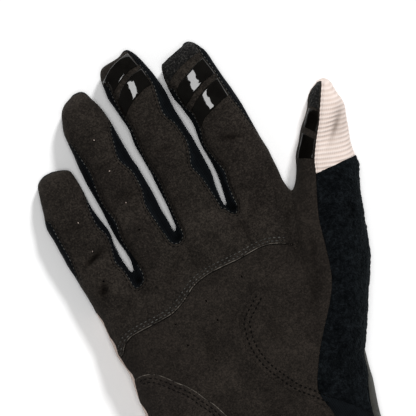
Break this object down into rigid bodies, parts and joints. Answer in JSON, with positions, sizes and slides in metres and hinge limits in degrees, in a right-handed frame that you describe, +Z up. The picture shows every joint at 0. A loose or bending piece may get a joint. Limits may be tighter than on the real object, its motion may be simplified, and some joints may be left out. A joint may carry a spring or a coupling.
{
  "type": "full-finger cycling glove",
  "caption": "Full-finger cycling glove for the right hand, lying palm up, with a suede palm, heel pad, terry thumb, pale thumb wipe and silicone grip bands.",
  "frame": {"origin": "on the ground under the middle of the glove's box", "axes": "+Y from the cuff to the fingertips, +X towards the thumb, +Z up from the back of the hand to the palm"},
  "size_m": [0.1356, 0.221, 0.0302],
  "materials": {
    "suede": "brushed synthetic suede, warm black",
    "suede_lower": "brushed synthetic suede, a shade browner",
    "stretch": "fine black stretch knit",
    "terry": "short black terry pile",
    "rib_knit": "pale ribbed knit",
    "pale_cloth": "pale stretch knit",
    "olive_cloth": "plain grey-olive stretch cloth",
    "silicone": "glossy black silicone",
    "touch_knit": "textured dark knit"
  },
  "bodies": {
    "root": {"palm_front": "suede", "palm_lower": "suede_lower", "thumb_front": "suede", "heel_patch": "suede_lower", "fourchette_index_middle": "stretch", "fourchette_middle_ring": "stretch", "fourchette_ring_pinky": "stretch", "side_index": "stretch", "side_pinky": "stretch", "finger_backs": "stretch", "wrist_gusset": "stretch", "thumb_back": "terry", "thumb_wipe": "rib_knit", "back_hand": "pale_cloth", "wrist_back": "olive_cloth", "cuff": "olive_cloth", "index_grip_upper": "silicone", "index_grip_lower": "silicone", "middle_grip_upper": "silicone", "middle_grip_lower": "silicone", "thumb_grip_upper": "silicone", "thumb_grip_lower": "silicone", "index_touch_patch": "touch_knit", "thumb_touch_patch": "touch_knit"}
  },
  "joints": []
}
